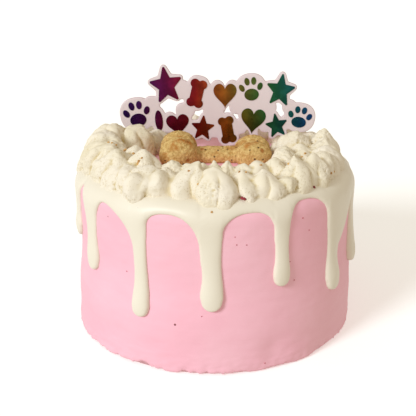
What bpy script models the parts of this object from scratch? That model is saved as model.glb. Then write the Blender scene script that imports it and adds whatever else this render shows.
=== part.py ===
# A six inch celebration cake for a dog: pink frosting, white icing running
# down from the shoulder, a wreath of piped cream, a bone biscuit and a flat
# topper standing behind the biscuit. Metres, +Z up, front towards -Y.
# Azimuths are in degrees round +Z: 0 is the front and 90 is +X.

import math
import random

import bmesh
import bpy
from mathutils import Matrix, Vector

MM = 0.001
GAP = 0.3 * MM

# Cake body
CAKE_RADIUS = 75.0 * MM
CAKE_HEIGHT = 89.0 * MM
SHOULDER = 9.0 * MM
FOOT_FLARE = 2.6 * MM
FLARE_HEIGHT = 15.0 * MM
HEM_DEPTH = 2.2 * MM
CAKE_SIDES = 64
FOOT_BEVEL = 1.8 * MM
SIDE_RINGS = (48.0 * MM, 15.0 * MM, 8.0 * MM, 3.2 * MM, 0.4 * MM)

# Notches in the frosting's hem (azimuth, half width in degrees, depth as a
# share of the hem) and shallow dents (azimuth, height in mm, half width in
# degrees, half height in mm, depth in mm)
HEM_NOTCHES = (
    (-28.5, 3.0, 0.9),
    (-11.9, 2.4, 0.7),
    (45.1, 2.6, 0.9),
    (50.0, 2.2, 0.7),
    (118.0, 3.0, 0.8),
    (205.0, 3.2, 0.8),
)
DENTS = (
    (21.8, 10.5, 5.0, 7.0, 0.9),
    (-44.0, 16.0, 7.0, 9.0, 0.6),
    (150.0, 14.0, 6.0, 8.0, 0.8),
)

# Running icing: its thickness over the shoulder, and how deep it is made
# before the cake is cut from it
ICING_BAND = 2.2 * MM
ICING_INSET = 1.2 * MM
ICING_COLLAR = 4.5 * MM
NECK_SAMPLES = (-1.0, -0.5, 0.0, 0.5, 1.0)
BAND_ROWS = 5

# Each run of icing: azimuth, height of its tip, half widths of neck and
# drop in mm, and how far the drop stands out in mm
RUNS = (
    (-76.5, 53.0, 5.8, 6.0, 4.6),
    (-57.6, 42.3, 5.5, 5.8, 4.4),
    (-29.2, 28.3, 3.9, 4.6, 4.6),
    (-1.4, 35.4, 5.0, 5.3, 5.0),
    (25.6, 44.9, 3.9, 4.4, 4.2),
    (53.2, 32.2, 5.4, 5.7, 5.0),
    (76.5, 36.5, 5.2, 5.7, 6.4),
    (100.0, 58.0, 5.0, 5.2, 4.2),
    (123.0, 38.0, 4.6, 5.4, 4.8),
    (147.0, 51.0, 5.2, 5.2, 4.2),
    (169.0, 31.0, 4.6, 5.4, 5.6),
    (193.0, 45.0, 5.0, 5.3, 4.8),
    (216.0, 56.0, 4.6, 5.0, 4.0),
    (238.0, 35.0, 4.8, 5.4, 4.6),
    (262.0, 48.0, 5.0, 5.6, 5.4),
)

# The arch after each run: azimuth and height of its top, then for its left
# and right flank the height where the run's side turns upright, and the
# power of the flank's curve (1 is a straight slope, 2 round, 3 squarer)
ARCHES = (
    (-66.4, 85.5, 71.0, 1.5, 70.0, 1.3),
    (-48.0, 82.8, 72.0, 1.6, 64.0, 1.85),
    (-18.0, 83.7, 77.0, 2.5, 62.0, 2.5),
    (13.2, 84.7, 75.0, 2.2, 70.0, 3.0),
    (36.5, 86.5, 76.0, 2.4, 70.0, 2.6),
    (69.6, 75.0, 56.0, 0.85, 68.0, 1.5),
    (88.0, 84.0, 72.0, 1.8, 72.0, 2.0),
    (112.0, 82.0, 72.0, 2.0, 64.0, 1.8),
    (134.0, 85.0, 74.0, 2.0, 74.0, 2.4),
    (158.5, 83.0, 70.0, 1.8, 74.0, 2.2),
    (180.0, 86.0, 74.0, 2.2, 66.0, 1.9),
    (205.0, 82.0, 70.0, 1.8, 74.0, 2.5),
    (226.0, 85.0, 74.0, 2.0, 66.0, 1.8),
    (250.5, 83.0, 71.0, 1.8, 71.0, 2.0),
    (272.0, 84.0, 74.0, 2.2, 71.0, 1.8),
)

# Piped cream. Front and sides: azimuth, distance from the middle, half
# width, height, then where the peak leans to (right, back), all in mm
KISSES = (
    (-34.0, 61.0, 12.5, 13.5, 2.0, -1.5),
    (-25.5, 59.5, 9.5, 12.5, 1.0, 1.0),
    (-13.0, 58.0, 11.5, 16.5, 5.5, 3.0),
    (1.0, 62.0, 12.0, 15.5, -1.0, 1.5),
    (15.0, 60.0, 10.5, 13.0, -2.0, 2.5),
    (22.8, 62.8, 10.5, 12.5, 0.0, 1.5),
    (33.5, 61.0, 7.5, 8.0, 0.0, 0.0),
    (42.0, 61.5, 10.8, 16.0, -1.5, 1.5),
    (52.0, 62.0, 10.5, 14.0, 0.5, 2.0),
    (65.0, 61.5, 10.8, 12.5, 0.0, 1.0),
    (78.0, 61.0, 11.0, 12.0, 0.0, 1.0),
    (90.0, 60.5, 11.0, 13.0, 0.0, 0.0),
    (101.0, 60.5, 11.5, 15.5, 1.5, 1.0),
    (-43.5, 61.5, 12.0, 12.0, 0.0, 1.0),
    (-43.0, 53.0, 10.0, 17.5, 0.0, 1.0),
    (-56.0, 60.5, 13.0, 16.0, 1.0, 2.0),
    (-60.0, 48.5, 9.5, 15.5, 1.0, 1.0),
    (-70.0, 60.5, 13.0, 17.0, 2.0, 0.0),
    (-84.0, 60.0, 13.5, 18.5, 1.0, 1.0),
    (-98.0, 59.5, 13.5, 19.0, 2.0, 0.0),
    (-101.0, 46.0, 11.5, 17.5, 1.0, 1.0),
    (-125.0, 41.5, 9.5, 12.5, 1.5, 0.0),
    (-28.0, 47.0, 8.0, 12.5, 1.0, 1.0),
    (-18.5, 45.5, 7.5, 12.0, 1.0, 1.0),
    (-9.0, 46.0, 7.5, 13.0, 1.0, 1.0),
    (-0.5, 45.5, 7.0, 14.5, 0.0, 1.0),
    (8.0, 45.5, 7.0, 14.0, 0.0, 1.0),
    (16.5, 46.5, 7.5, 13.0, 1.0, 1.0),
    (26.0, 47.5, 8.5, 13.0, 0.0, 1.0),
    (37.0, 50.5, 8.0, 13.0, -1.0, 1.0),
    (50.5, 51.0, 9.0, 14.5, -1.5, 1.0),
    (67.0, 50.0, 9.0, 11.5, 1.0, 1.0),
    (85.0, 48.5, 9.0, 11.0, -1.0, 1.0),
    (103.0, 49.0, 10.5, 14.5, -2.0, 1.0),
)
BACK_KISSES = 8
BACK_START = 117.0
BACK_END = 243.0
LARGE_KISS = 10.4 * MM
UNDERSIDE = 4.0 * MM
SEAT_TURNS = (-8.0, 16.0, 40.0, 64.0, 90.0)

# Bone biscuit
BISCUIT_LENGTH = 61.0 * MM
KNOB_LEFT = (10.3 * MM, 9.0 * MM, 15.0 * MM)
KNOB_RIGHT = (9.9 * MM, 8.6 * MM, 12.4 * MM)
KNOB_SPREAD = 6.6 * MM
SHAFT_WIDTH = 13.5 * MM
SHAFT_HEIGHT = 8.0 * MM

# Topper
TOPPER_Y = 24.0 * MM
TOPPER_THICKNESS = 1.6 * MM
HALO = 2.1 * MM
LEG_WIDTH = 5.0 * MM
LEG_DEPTH = 16.0 * MM
LEG_X = (-21.5 * MM, 22.7 * MM)

# Topper shapes: kind, centre right of the middle and above the cake's top,
# width, height in mm, and tilt in degrees
EMBLEMS = (
    ("star", -26.9, 36.9, 17.5, 19.0, 8.0),
    ("bone", -9.8, 32.4, 9.5, 16.0, -14.0),
    ("heart", 6.1, 30.9, 13.0, 14.0, 0.0),
    ("paw", 20.8, 34.3, 13.5, 14.0, 6.0),
    ("star", 37.3, 33.6, 15.5, 17.0, -8.0),
    ("paw", -43.9, 20.4, 15.5, 15.5, 10.0),
    ("drop", -31.6, 16.9, 4.4, 12.0, 4.0),
    ("heart", -20.8, 14.1, 13.0, 12.6, 6.0),
    ("star", -6.7, 12.3, 12.6, 13.4, -5.0),
    ("bone", 7.4, 11.2, 9.0, 15.6, 10.0),
    ("heart", 22.0, 16.2, 14.0, 14.6, -6.0),
    ("star", 35.6, 13.4, 12.0, 13.0, 10.0),
    ("paw", 48.6, 18.0, 14.0, 13.0, -10.0),
)

# Bridges between the two rows: centre and half size in mm
BRIDGES = (
    (-35.0, 27.0, 4.5, 4.0),
    (-16.5, 22.6, 5.5, 4.5),
    (-0.5, 21.6, 6.0, 4.5),
    (14.0, 24.2, 5.5, 4.0),
    (30.0, 24.0, 5.5, 4.0),
    (42.5, 24.5, 4.0, 4.0),
    (-37.5, 18.0, 4.0, 5.0),
    (-26.5, 14.0, 4.0, 4.5),
    (-13.5, 12.0, 4.0, 4.5),
    (0.2, 10.5, 4.5, 4.0),
    (14.2, 13.0, 4.5, 4.5),
    (29.5, 14.0, 4.0, 4.5),
    (42.0, 15.5, 4.0, 4.5),
    (-18.0, 34.5, 4.0, 5.5),
    (-2.0, 31.0, 3.5, 5.0),
    (13.5, 32.0, 4.0, 5.0),
    (29.0, 34.0, 4.0, 5.0),
)

PINK = (0.93, 0.52, 0.60)
WHITE_ICING = (0.90, 0.84, 0.70)
CREAM = (0.92, 0.86, 0.72)
BISCUIT = (0.72, 0.46, 0.18)
TOPPER_PLATE = (0.72, 0.64, 0.66)


# Scene helpers

def clear_objects():
    for old in list(bpy.data.objects):
        bpy.data.objects.remove(old, do_unlink=True)


def new_collection(name):
    made = bpy.data.collections.new(name)
    bpy.context.scene.collection.children.link(made)
    return made


def new_material(name, colour, roughness, metallic=0.0):
    material = bpy.data.materials.new(name)
    material.use_nodes = True
    shader = material.node_tree.nodes["Principled BSDF"]
    shader.inputs["Base Color"].default_value = (*colour, 1.0)
    shader.inputs["Roughness"].default_value = roughness
    shader.inputs["Metallic"].default_value = metallic
    material.diffuse_color = (*colour, 1.0)
    return material


def object_from_bmesh(name, bm, collection):
    mesh = bpy.data.meshes.new(name)
    bm.to_mesh(mesh)
    bm.free()
    made = bpy.data.objects.new(name, mesh)
    collection.objects.link(made)
    return made


def apply_modifiers(item):
    bpy.context.view_layer.update()
    depsgraph = bpy.context.evaluated_depsgraph_get()
    mesh = bpy.data.meshes.new_from_object(item.evaluated_get(depsgraph))
    item.modifiers.clear()
    old = item.data
    item.data = mesh
    mesh.name = item.name
    if old.users == 0 and isinstance(old, bpy.types.Mesh):
        bpy.data.meshes.remove(old)


def curve_to_mesh(item, collection):
    bpy.context.view_layer.update()
    depsgraph = bpy.context.evaluated_depsgraph_get()
    mesh = bpy.data.meshes.new_from_object(item.evaluated_get(depsgraph))
    bm = bmesh.new()
    bm.from_mesh(mesh)
    bmesh.ops.remove_doubles(bm, verts=bm.verts, dist=0.01 * MM)
    bm.to_mesh(mesh)
    bm.free()
    made = bpy.data.objects.new(item.name + "_mesh", mesh)
    made.matrix_world = item.matrix_world.copy()
    collection.objects.link(made)
    bpy.data.objects.remove(item, do_unlink=True)
    return made


def boolean(target, operation, cutter=None, group=None):
    modifier = target.modifiers.new(operation.lower(), "BOOLEAN")
    modifier.operation = operation
    if group is not None:
        modifier.operand_type = "COLLECTION"
        modifier.collection = group
    else:
        modifier.object = cutter
    return modifier


def fuse(name, pieces):
    group = new_collection(name + "_pieces")
    for piece in pieces[1:]:
        for holder in list(piece.users_collection):
            holder.objects.unlink(piece)
        group.objects.link(piece)
    whole = pieces[0]
    whole.name = name
    boolean(whole, "UNION", group=group)
    apply_modifiers(whole)
    for piece in list(group.objects):
        bpy.data.objects.remove(piece, do_unlink=True)
    bpy.data.collections.remove(group)
    keep_outer_skin(whole)
    return whole


def keep_outer_skin(item):
    """Drop flaps, sealed hollows and scraps: only the largest skin stays."""
    bm = bmesh.new()
    bm.from_mesh(item.data)
    bmesh.ops.triangulate(bm, faces=bm.faces[:])
    twins = {}
    for face in bm.faces:
        twins.setdefault(frozenset(face.verts), []).append(face)
    flaps = [face for same in twins.values() if len(same) > 1 for face in same]
    bmesh.ops.delete(bm, geom=flaps, context="FACES")
    waiting = set(bm.faces)
    skins = []
    while waiting:
        start = waiting.pop()
        skin = [start]
        front = [start]
        while front:
            for edge in front.pop().edges:
                for face in edge.link_faces:
                    if face in waiting:
                        waiting.discard(face)
                        skin.append(face)
                        front.append(face)
        skins.append(skin)
    skins.sort(key=len)
    scraps = [face for skin in skins[:-1] for face in skin]
    bmesh.ops.delete(bm, geom=scraps, context="FACES")
    bm.to_mesh(item.data)
    bm.free()


def cut(target, cutter, solver="EXACT"):
    boolean(target, "DIFFERENCE", cutter=cutter).solver = solver
    apply_modifiers(target)


def as_cutter(item):
    item.hide_render = True
    item.display_type = "WIRE"


def dress(item, material, angle=40.0):
    item.data.materials.clear()
    item.data.materials.append(material)
    item.data.shade_smooth()
    item.data.set_sharp_from_angle(angle=math.radians(angle))


def turned(name, profile, sides, collection):
    bm = bmesh.new()
    points = [bm.verts.new((radius, 0.0, height)) for radius, height in profile]
    for first, second in zip(points, points[1:]):
        bm.edges.new((first, second))
    item = object_from_bmesh(name, bm, collection)
    screw = item.modifiers.new("turn", "SCREW")
    screw.axis = "Z"
    screw.steps = sides
    screw.render_steps = sides
    screw.use_merge_vertices = True
    screw.merge_threshold = 0.00001
    screw.use_normal_calculate = False
    apply_modifiers(item)
    return item


# Cake body

def bump(azimuth, centre, spread):
    away = (azimuth - centre + 180.0) % 360.0 - 180.0
    return math.exp(-(away / spread) ** 2)


def hem_lift(azimuth):
    a = math.radians(azimuth)
    wave = 0.34 + 0.16 * math.sin(7.0 * a + 0.6) + 0.14 * math.sin(13.0 * a + 2.0)
    wave += 0.12 * math.sin(23.0 * a + 4.1)
    for centre, spread, depth in HEM_NOTCHES:
        wave += depth * bump(azimuth, centre, spread)
    return HEM_DEPTH * min(max(wave, 0.05), 1.2)


def dent(azimuth, height):
    total = 0.0
    for centre, level, spread, reach, depth in DENTS:
        total += depth * bump(azimuth, centre, spread) * math.exp(-((height / MM - level) / reach) ** 2)
    return total * MM


def foot_flare(azimuth, height):
    """How far the frosting stands out at the foot, most on the left."""
    share = max(0.0, 1.0 - height / FLARE_HEIGHT) ** 1.2
    return FOOT_FLARE * share * (0.6 - 0.4 * math.sin(math.radians(azimuth)))


def cake_profile(grow=0.0):
    bend = (SHOULDER + 1.05 * grow)
    profile = [(0.0, CAKE_HEIGHT + grow)]
    for step in range(4):
        turn = math.radians(30.0 * step)
        profile.append((CAKE_RADIUS - SHOULDER + bend * math.sin(turn),
                        CAKE_HEIGHT - SHOULDER + bend * math.cos(turn)))
    for height in SIDE_RINGS:
        profile.append((CAKE_RADIUS + grow, height))
    profile.append((CAKE_RADIUS - FOOT_BEVEL, 0.0))
    profile.append((0.0, 0.0))
    return profile


def build_cake(collection, material):
    cake = turned("cake", cake_profile(), CAKE_SIDES, collection)
    for vertex in cake.data.vertices:
        place = vertex.co
        radius = math.hypot(place.x, place.y)
        if radius < CAKE_RADIUS - 1.0 * MM or place.z > 40.0 * MM:
            continue
        azimuth = math.degrees(math.atan2(place.x, -place.y))
        inward = dent(azimuth, place.z) - foot_flare(azimuth, place.z)
        lift = hem_lift(azimuth)
        if place.z < 1.0 * MM:
            place.z += lift
        elif place.z < 5.0 * MM:
            place.z += 0.8 * lift
            inward += 0.25 * lift
        place.x *= 1.0 - inward / radius
        place.y *= 1.0 - inward / radius
    dress(cake, material, 50.0)
    return cake


# Running icing

def on_skin(azimuth, travel, lift):
    """A point over the cake: travel is the way down from the shoulder's top."""
    quarter = SHOULDER * math.pi / 2.0
    if travel < 0.0:
        radius, height = CAKE_RADIUS - SHOULDER + travel, CAKE_HEIGHT + lift
    elif travel < quarter:
        turn = travel / SHOULDER
        radius = CAKE_RADIUS - SHOULDER + (SHOULDER + lift) * math.sin(turn)
        height = CAKE_HEIGHT - SHOULDER + (SHOULDER + lift) * math.cos(turn)
    else:
        radius = CAKE_RADIUS + lift
        height = CAKE_HEIGHT - SHOULDER - (travel - quarter)
    a = math.radians(azimuth)
    return Vector((radius * math.sin(a), -radius * math.cos(a), height))


def travel_to(height):
    fall = CAKE_HEIGHT - SHOULDER - height
    if fall > 0.0:
        return SHOULDER * math.pi / 2.0 + fall
    return SHOULDER * math.acos(min(1.0, -fall / SHOULDER))


def degrees_of(width_mm):
    return math.degrees(width_mm * MM / CAKE_RADIUS)


def flank(azimuth, side, top, join, power):
    """Height of an arch's edge between its top and the side of a run."""
    top_azimuth, top_height = top
    share = min(1.0, abs((azimuth - top_azimuth) / (side - top_azimuth)))
    return join + (top_height - join) * (1.0 - share ** power) ** (1.0 / power)


def swell(across):
    return math.sqrt(max(0.0, 1.0 - abs(across) ** 2.4))


def build_icing(collection, cutters, material):
    bm = bmesh.new()

    def put(azimuth, travel, thickness):
        if thickness <= 0.0:
            rim = bm.verts.new(on_skin(azimuth, travel, 0.0))
            return rim, rim
        inner = bm.verts.new(on_skin(azimuth, travel, -ICING_INSET))
        return inner, bm.verts.new(on_skin(azimuth, travel, thickness))

    def skin(first, second, upper, lower):
        corners = (first[upper], first[lower], second[lower], second[upper])
        for side, order in ((1, 1), (0, -1)):
            ring = []
            for corner in corners[::order]:
                if corner[side] not in ring:
                    ring.append(corner[side])
            if len(ring) > 2 and not all(c[0] is c[1] for c in corners):
                bm.faces.new(ring)

    columns = []
    runs = []
    for number, (azimuth, tip, neck, drop, bulge) in enumerate(RUNS):
        before = ARCHES[number - 1]
        after = ARCHES[number]
        left_join, right_join = before[4] * MM, after[2] * MM
        start = len(columns)
        for across in NECK_SAMPLES:
            share = 0.5 + 0.5 * across
            join = left_join * (1.0 - share) + right_join * share
            thickness = (ICING_BAND + 0.25 * bulge * MM) * swell(across)
            columns.append((azimuth + degrees_of(1.12 * neck) * across, travel_to(join), thickness))
        runs.append((start, left_join, right_join))
        side = azimuth + degrees_of(1.12 * neck)
        following = RUNS[(number + 1) % len(RUNS)]
        far = following[0] + (360.0 if following[0] < azimuth else 0.0)
        other = far - degrees_of(1.12 * following[2])
        top = (after[0], after[1] * MM)
        count = max(2, round((other - side) / 4.6))
        spots = [side + (other - side) * (0.5 - 0.5 * math.cos(math.pi * (step + 1) / (count + 1)))
                 for step in range(count)]
        nearest = min(range(count), key=lambda index: abs(spots[index] - top[0]))
        spots[nearest] = top[0]
        for spot in spots:
            if spot < top[0]:
                edge = flank(spot, side, top, after[2] * MM, after[3])
            else:
                edge = flank(spot, other, top, after[4] * MM, after[5])
            columns.append((spot, travel_to(edge), 0.0))

    grid = []
    quarter = SHOULDER * math.pi / 2.0
    for azimuth, reach, low_thickness in columns:
        column = []
        for row in range(BAND_ROWS):
            last = BAND_ROWS - 1
            travel = min(reach * (row - 0.4) / (last - 0.4), quarter * (row - 0.25) / (last - 1.25))
            if row == 0:
                travel, thickness = -ICING_COLLAR, 0.0
            elif row == last:
                travel, thickness = reach, low_thickness
            else:
                thickness = ICING_BAND * (0.85 + 0.15 * math.sin(math.radians(azimuth * 5.0)))
            column.append(put(azimuth, travel, thickness))
        grid.append(column)
    for number, column in enumerate(grid):
        following = grid[(number + 1) % len(grid)]
        for row in range(BAND_ROWS - 1):
            skin(column, following, row, row + 1)

    for (azimuth, tip, neck, drop, bulge), (start, left_join, right_join) in zip(RUNS, runs):
        end = tip * MM + drop * MM
        straight = end + 0.45 * drop * MM
        strips = []
        for index, across in enumerate(NECK_SAMPLES):
            share = 0.5 + 0.5 * across
            join = left_join * (1.0 - share) + right_join * share
            strip = [grid[start + index][-1]]
            for fall in (0.3, 0.6, 0.85, 1.0):
                height = join + (straight - join) * fall
                width = neck * (1.12 - 0.16 * math.sin(math.pi * min(1.0, fall * 1.2)))
                width += (drop - neck) * fall ** 3
                depth = (ICING_BAND + (bulge * MM - ICING_BAND) * fall ** 1.6) * swell(across)
                strip.append(put(azimuth + degrees_of(width) * across, travel_to(height), depth))
            turn = across * math.pi / 2.0
            round_azimuth = degrees_of(drop) * math.sin(turn)
            round_height = end - drop * MM * math.cos(turn)
            middle = 0.45
            strip.append(put(azimuth + degrees_of(drop) * across * middle + round_azimuth * (1.0 - middle),
                             travel_to(straight * middle + round_height * (1.0 - middle)),
                             0.86 * bulge * MM * swell(across)))
            strip.append(put(azimuth + round_azimuth, travel_to(round_height), 0.0))
            strips.append(strip)
        for first, second in zip(strips, strips[1:]):
            for row in range(len(first) - 1):
                skin(first, second, row, row + 1)

    icing = object_from_bmesh("running_icing", bm, collection)
    bed = turned("icing_bed_cutter", cake_profile(GAP), CAKE_SIDES, cutters)
    cut(icing, bed, "MANIFOLD")
    keep_outer_skin(icing)
    as_cutter(bed)
    dress(icing, material, 60.0)
    return icing


# Piped cream

def kiss_profile(share):
    """Radius and height of a kiss, as shares, from its peak to its foot."""
    height = 1.0 - share ** 1.4
    radius = (1.0 - (1.0 - share) ** 2.3) ** 2.4
    return radius, height


def build_kiss(place, half_width, height, lean, draw, collection):
    bm = bmesh.new()
    count = 4
    samples = 3 if half_width > LARGE_KISS else 2
    spokes = samples * count
    bmesh.ops.create_uvsphere(bm, u_segments=spokes, v_segments=2 * samples + 1, radius=1.0)
    lobes = [draw.uniform(0.85, 1.15) for _ in range(count)]
    phase = draw.uniform(0.0, 2.0 * math.pi)
    twist = draw.uniform(0.5, 1.1) * draw.choice((-1.0, 1.0))
    crease = draw.uniform(0.2, 0.3)
    oval = draw.uniform(0.9, 1.08)
    for vertex in bm.verts:
        polar = math.acos(max(-1.0, min(1.0, vertex.co.z))) / math.pi
        spoke = round(math.atan2(vertex.co.y, vertex.co.x) * 0.5 * spokes / math.pi) % spokes
        if polar < 0.8:
            share = polar / 0.8
            radius, level = kiss_profile(share)
            level *= height
        else:
            share = 1.0
            radius, level = 1.2 * (1.0 - polar) / 0.2, -UNDERSIDE * (0.6 + 2.0 * (polar - 0.8))
        lobe = lobes[spoke // samples]
        if spoke % samples == samples - 1:
            radius *= 1.0 - crease * min(1.0, 3.0 * share)
        else:
            radius *= 1.0 + 0.1 * lobe * math.sin(math.pi * share)
            level -= 0.1 * (1.0 - lobe) * height
        around = 2.0 * math.pi * spoke / spokes + phase + twist * (1.0 - share)
        rise = max(0.0, level / height)
        vertex.co = Vector((half_width * radius * math.cos(around) * oval + lean[0] * rise ** 1.7,
                            half_width * radius * math.sin(around) / oval + lean[1] * rise ** 1.7,
                            level))
    item = object_from_bmesh("kiss", bm, collection)
    item.data.transform(Matrix.Translation(place))
    return item


def build_cream(collection, cutters, material):
    draw = random.Random(23)
    kisses = []
    for azimuth, distance, half_width, height, right, back in KISSES:
        a = math.radians(azimuth)
        place = Vector((distance * MM * math.sin(a), -distance * MM * math.cos(a), CAKE_HEIGHT))
        lean = (right * MM, back * MM)
        kisses.append(build_kiss(place, half_width * MM, height * MM, lean, draw, collection))
    for step in range(BACK_KISSES):
        azimuth = BACK_START + (BACK_END - BACK_START) * step / (BACK_KISSES - 1)
        a = math.radians(azimuth + draw.uniform(-2.0, 2.0))
        distance = draw.uniform(57.5, 60.5) * MM
        place = Vector((distance * math.sin(a), -distance * math.cos(a), CAKE_HEIGHT))
        lean = (draw.uniform(-2.5, 2.5) * MM, draw.uniform(-2.0, 2.0) * MM)
        kisses.append(build_kiss(place, draw.uniform(12.0, 13.2) * MM, draw.uniform(10.5, 13.5) * MM,
                                 lean, draw, collection))
    cream = fuse("cream_wreath", kisses)

    clear = ICING_BAND + 2.2 * GAP
    edge = CAKE_RADIUS - SHOULDER - ICING_COLLAR - 0.6 * MM
    seat = [(0.0, CAKE_HEIGHT + GAP), (edge, CAKE_HEIGHT + GAP)]
    for turn in SEAT_TURNS:
        a = math.radians(turn)
        seat.append((CAKE_RADIUS - SHOULDER + (SHOULDER + clear) * math.sin(a),
                     CAKE_HEIGHT - SHOULDER + (SHOULDER + clear) * math.cos(a)))
    seat.append((CAKE_RADIUS + clear, 0.5 * CAKE_HEIGHT))
    seat.append((0.0, 0.5 * CAKE_HEIGHT))
    block = turned("cream_seat_cutter", seat, 40, cutters)
    cut(cream, block, "MANIFOLD")
    keep_outer_skin(cream)
    as_cutter(block)
    dress(cream, material, 75.0)
    return cream


# Bone biscuit

def build_biscuit(collection, cutters, material):
    base = CAKE_HEIGHT + GAP
    pieces = []
    for side, (reach, half, tall) in ((-1.0, KNOB_LEFT), (1.0, KNOB_RIGHT)):
        centre = side * (0.5 * BISCUIT_LENGTH - reach)
        for spread in (-1.0, 1.0):
            bm = bmesh.new()
            bmesh.ops.create_uvsphere(bm, u_segments=14, v_segments=10, radius=1.0)
            level = base + 0.36 * tall
            shape = Matrix.Translation((centre + 0.5 * MM, spread * KNOB_SPREAD, level))
            shape = shape @ Matrix.Diagonal((reach, half, 0.64 * tall, 1.0))
            bmesh.ops.transform(bm, matrix=shape, verts=bm.verts)
            pieces.append(object_from_bmesh("knob", bm, collection))
    bm = bmesh.new()
    bmesh.ops.create_cone(bm, cap_ends=True, segments=16, radius1=1.0, radius2=1.0,
                          depth=BISCUIT_LENGTH - 2.0 * KNOB_LEFT[0])
    shape = Matrix.Translation((0.0, 0.0, base + 0.4 * SHAFT_HEIGHT))
    shape = shape @ Matrix.Diagonal((1.0, 0.5 * SHAFT_WIDTH, 0.6 * SHAFT_HEIGHT, 1.0))
    shape = shape @ Matrix.Rotation(math.radians(90.0), 4, "Y")
    bmesh.ops.transform(bm, matrix=shape, verts=bm.verts)
    pieces.append(object_from_bmesh("shaft", bm, collection))
    biscuit = fuse("bone_biscuit", pieces)

    bm = bmesh.new()
    bmesh.ops.create_cube(bm, size=1.0)
    shape = Matrix.Translation((0.0, 0.0, base - 10.0 * MM)) @ Matrix.Diagonal((0.1, 0.06, 20.0 * MM, 1.0))
    bmesh.ops.transform(bm, matrix=shape, verts=bm.verts)
    floor = object_from_bmesh("biscuit_seat_cutter", bm, cutters)
    cut(biscuit, floor, "MANIFOLD")
    as_cutter(floor)
    dress(biscuit, material, 60.0)
    return biscuit


# Topper

def star_outline(width, height, margin):
    points = []
    half_x, half_z = 0.5 * width / math.cos(math.radians(18.0)), 0.5 * height / 0.905
    blunt = math.radians(4.0) + 0.5 * margin / half_x
    for step in range(5):
        a = math.radians(90.0 + 72.0 * step)
        for turn in (-blunt, blunt):
            points.append(((half_x + 0.9 * margin) * math.cos(a + turn),
                           (half_z + 0.9 * margin) * math.sin(a + turn)))
        a += math.radians(36.0)
        points.append(((0.5 * half_x + margin) * math.cos(a), (0.5 * half_z + margin) * math.sin(a)))
    return points


def heart_outline(width, height, margin):
    points = []
    for step in range(20):
        a = 2.0 * math.pi * step / 20.0
        x = 16.0 * math.sin(a) ** 3 / 32.0
        z = (13.0 * math.cos(a) - 5.0 * math.cos(2.0 * a) - 2.0 * math.cos(3.0 * a) - math.cos(4.0 * a)) / 29.0
        points.append((x * (width + 2.0 * margin), (z + 0.08) * (height + 2.0 * margin)))
    return points[::-1]


def round_outline(width, height, margin, power=2.3, sides=18):
    points = []
    for step in range(sides):
        a = 2.0 * math.pi * step / sides
        c, s = math.cos(a), math.sin(a)
        points.append((math.copysign(abs(c) ** (2.0 / power), c) * (0.5 * width + margin),
                       math.copysign(abs(s) ** (2.0 / power), s) * (0.5 * height + margin)))
    return points


def emblem_outline(kind, width, height, margin):
    if kind == "star":
        return star_outline(width, height, margin)
    if kind == "heart":
        return heart_outline(width, height, margin)
    if kind == "paw":
        return round_outline(width, height, margin)
    if kind == "bone":
        return round_outline(width, height, margin, 2.8)
    return round_outline(width, height, margin, 2.0, 14)


def flat_piece(outline, place, tilt, thickness, collection):
    curve = bpy.data.curves.new("outline", "CURVE")
    curve.dimensions = "2D"
    curve.fill_mode = "BOTH"
    curve.extrude = 0.5 * thickness
    spline = curve.splines.new("POLY")
    spline.points.add(len(outline) - 1)
    spline.use_cyclic_u = True
    turn = Matrix.Rotation(math.radians(tilt), 2)
    for point, (x, z) in zip(spline.points, outline):
        spot = turn @ Vector((x, z))
        point.co = (spot.x, spot.y, 0.0, 1.0)
    item = bpy.data.objects.new("outline", curve)
    collection.objects.link(item)
    item.matrix_world = Matrix.Translation(place) @ Matrix.Rotation(math.radians(90.0), 4, "X")
    made = curve_to_mesh(item, collection)
    made.data.transform(made.matrix_world)
    made.matrix_world = Matrix.Identity(4)
    return made


def topper_body(name, grow, thickness, collection):
    pieces = []
    for kind, x, z, width, height, tilt in EMBLEMS:
        outline = emblem_outline(kind, width * MM, height * MM, HALO + grow)
        place = Vector((x * MM, TOPPER_Y, CAKE_HEIGHT + z * MM))
        pieces.append(flat_piece(outline, place, tilt, thickness, collection))
    for x, z, half_x, half_z in BRIDGES:
        outline = round_outline(2.0 * half_x * MM, 2.0 * half_z * MM, grow, 2.6, 12)
        place = Vector((x * MM, TOPPER_Y, CAKE_HEIGHT + z * MM))
        pieces.append(flat_piece(outline, place, 0.0, thickness, collection))
    for x in LEG_X:
        half = 0.5 * LEG_WIDTH + grow
        top, foot = 12.0 * MM, -LEG_DEPTH - grow
        outline = ((-half, foot + 2.0 * MM), (-0.3 * half, foot), (0.3 * half, foot),
                   (half, foot + 2.0 * MM), (half, top), (-half, top))
        place = Vector((x, TOPPER_Y, CAKE_HEIGHT))
        pieces.append(flat_piece(outline, place, 0.0, thickness, collection))
    body = fuse(name, pieces)
    bm = bmesh.new()
    bm.from_mesh(body.data)
    bmesh.ops.remove_doubles(bm, verts=bm.verts, dist=0.02 * MM)
    bmesh.ops.dissolve_limit(bm, angle_limit=math.radians(1.0), verts=bm.verts, edges=bm.edges)
    bm.to_mesh(body.data)
    bm.free()
    return body


def main():
    clear_objects()
    parts = new_collection("dog_birthday_cake")
    cutters = new_collection("cutters")

    cake = build_cake(parts, new_material("pink_frosting", PINK, 0.75))
    build_icing(parts, cutters, new_material("white_icing", WHITE_ICING, 0.55))
    cream = build_cream(parts, cutters, new_material("piped_cream", CREAM, 0.7))
    build_biscuit(parts, cutters, new_material("biscuit", BISCUIT, 0.85))

    topper = topper_body("topper", 0.0, TOPPER_THICKNESS, parts)
    dress(topper, new_material("topper_plate", TOPPER_PLATE, 0.3), 30.0)
    slit = topper_body("topper_clearance_cutter", GAP, TOPPER_THICKNESS + 2.0 * GAP, cutters)
    cut(cake, slit, "MANIFOLD")
    cut(cream, slit, "MANIFOLD")
    keep_outer_skin(cream)
    as_cutter(slit)


main()
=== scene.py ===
import math
import random

import bmesh
import bpy
from mathutils import Matrix, Vector, kdtree, noise


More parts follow.
